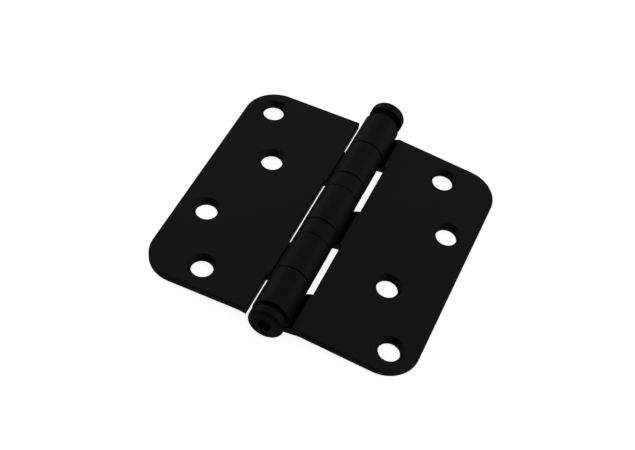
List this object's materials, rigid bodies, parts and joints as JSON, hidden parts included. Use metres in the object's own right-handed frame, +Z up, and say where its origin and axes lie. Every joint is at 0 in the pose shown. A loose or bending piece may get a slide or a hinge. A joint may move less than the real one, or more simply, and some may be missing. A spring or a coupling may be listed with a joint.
{
  "type": "door hinge",
  "caption": "Ball-bearing butt hinge, laid open flat: two round-cornered leaves with staggered countersunk holes, knuckled barrel, loose pin with button tips.",
  "frame": {"origin": "on the surface that the open hinge lies on, under the middle of its whole length, halfway between the plug's end and the pin head's end", "axes": "+X from the pin towards the right leaf's outer edge, +Y along the pin towards its head, +Z up from the surface, out of the leaves' front faces"},
  "size_m": [0.0888, 0.1004, 0.012],
  "materials": {
    "leaf_black": "satin black powder coat on steel",
    "tip_black": "satin black on turned steel",
    "case_black": "satin black on pressed steel",
    "race_steel": "ground hardened steel",
    "ball_steel": "polished hardened steel"
  },
  "bodies": {
    "fixed_leaf": {"right_leaf": "leaf_black", "bottom_plug": "tip_black", "bearing_1_case": "case_black", "bearing_1_lower_race": "race_steel", "bearing_2_upper_race": "race_steel"},
    "swinging_leaf": {"left_leaf": "leaf_black", "bearing_1_upper_race": "race_steel", "bearing_2_case": "case_black", "bearing_2_lower_race": "race_steel"},
    "pin": {"hinge_pin": "tip_black"},
    "ball_ring_1": {"bearing_1_ball_01": "ball_steel", "bearing_1_ball_02": "ball_steel", "bearing_1_ball_03": "ball_steel", "bearing_1_ball_04": "ball_steel", "bearing_1_ball_05": "ball_steel", "bearing_1_ball_06": "ball_steel", "bearing_1_ball_07": "ball_steel", "bearing_1_ball_08": "ball_steel", "bearing_1_ball_09": "ball_steel", "bearing_1_ball_10": "ball_steel", "bearing_1_ball_11": "ball_steel", "bearing_1_ball_12": "ball_steel", "bearing_1_ball_13": "ball_steel", "bearing_1_ball_14": "ball_steel", "bearing_1_ball_15": "ball_steel", "bearing_1_ball_16": "ball_steel"},
    "ball_ring_2": {"bearing_2_ball_01": "ball_steel", "bearing_2_ball_02": "ball_steel", "bearing_2_ball_03": "ball_steel", "bearing_2_ball_04": "ball_steel", "bearing_2_ball_05": "ball_steel", "bearing_2_ball_06": "ball_steel", "bearing_2_ball_07": "ball_steel", "bearing_2_ball_08": "ball_steel", "bearing_2_ball_09": "ball_steel", "bearing_2_ball_10": "ball_steel", "bearing_2_ball_11": "ball_steel", "bearing_2_ball_12": "ball_steel", "bearing_2_ball_13": "ball_steel", "bearing_2_ball_14": "ball_steel", "bearing_2_ball_15": "ball_steel", "bearing_2_ball_16": "ball_steel"}
  },
  "joints": [
    {"name": "leaf_swing", "type": "hinge", "parent": "fixed_leaf", "child": "swinging_leaf", "pos_m": [0, 0, 0.006], "axis": [0, 1, 0], "range_deg": [0, 185.6]},
    {"name": "ball_orbit_1", "type": "hinge", "parent": "fixed_leaf", "child": "ball_ring_1", "pos_m": [0, 0, 0.006], "axis": [0, 1, 0], "range_deg": [0, 92.8]},
    {"name": "ball_orbit_2", "type": "hinge", "parent": "fixed_leaf", "child": "ball_ring_2", "pos_m": [0, 0, 0.006], "axis": [0, 1, 0], "range_deg": [0, 92.8]},
    {"name": "pin_slide", "type": "slide", "parent": "fixed_leaf", "child": "pin", "axis": [0, 1, 0], "range_m": [0, 0.086]}
  ],
  "couplings": [
    {"joint": "ball_orbit_1", "follows": "leaf_swing", "ratio": 0.5},
    {"joint": "ball_orbit_2", "follows": "leaf_swing", "ratio": 0.5}
  ]
}
